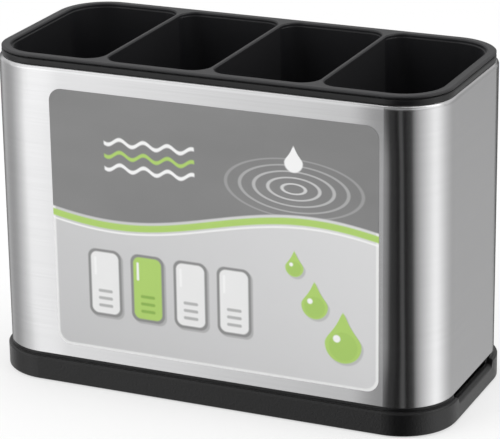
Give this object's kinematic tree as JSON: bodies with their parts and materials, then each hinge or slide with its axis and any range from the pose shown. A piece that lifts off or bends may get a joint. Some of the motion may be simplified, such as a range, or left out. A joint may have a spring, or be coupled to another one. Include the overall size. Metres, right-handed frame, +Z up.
{
  "type": "cutlery drying holder",
  "caption": "Free-standing cutlery drying holder: brushed steel sleeve with rounded corners on a black drip tray, holding a lift-out liner with divided cells.",
  "frame": {"origin": "on the ground under the middle of the tray", "axes": "+Z up, +X along the long side, -Y out of the front face that carries the label"},
  "size_m": [0.1856, 0.0864, 0.1305],
  "materials": {
    "black_tray": "satin moulded plastic",
    "black_liner": "fine matt moulded plastic",
    "black_trim": "satin moulded plastic",
    "steel": "fine brushed, grain along the long side",
    "label_print": "satin printed film",
    "pad_rubber": "soft matt rubber"
  },
  "bodies": {
    "base": {"base_tray": "black_tray", "foot_front_left": "pad_rubber", "foot_front_right": "pad_rubber", "foot_rear_left": "pad_rubber", "foot_rear_right": "pad_rubber"},
    "sleeve": {"steel_sleeve": "steel", "top_collar": "black_trim", "front_label": "label_print"},
    "insert": {"compartment_insert": "black_liner"}
  },
  "joints": [
    {"name": "sleeve_lift", "type": "slide", "parent": "base", "child": "sleeve", "axis": [0, 0, 1], "range_m": [0, 0.03]},
    {"name": "insert_lift", "type": "slide", "parent": "sleeve", "child": "insert", "axis": [0, 0, 1], "range_m": [0, 0.13]}
  ]
}
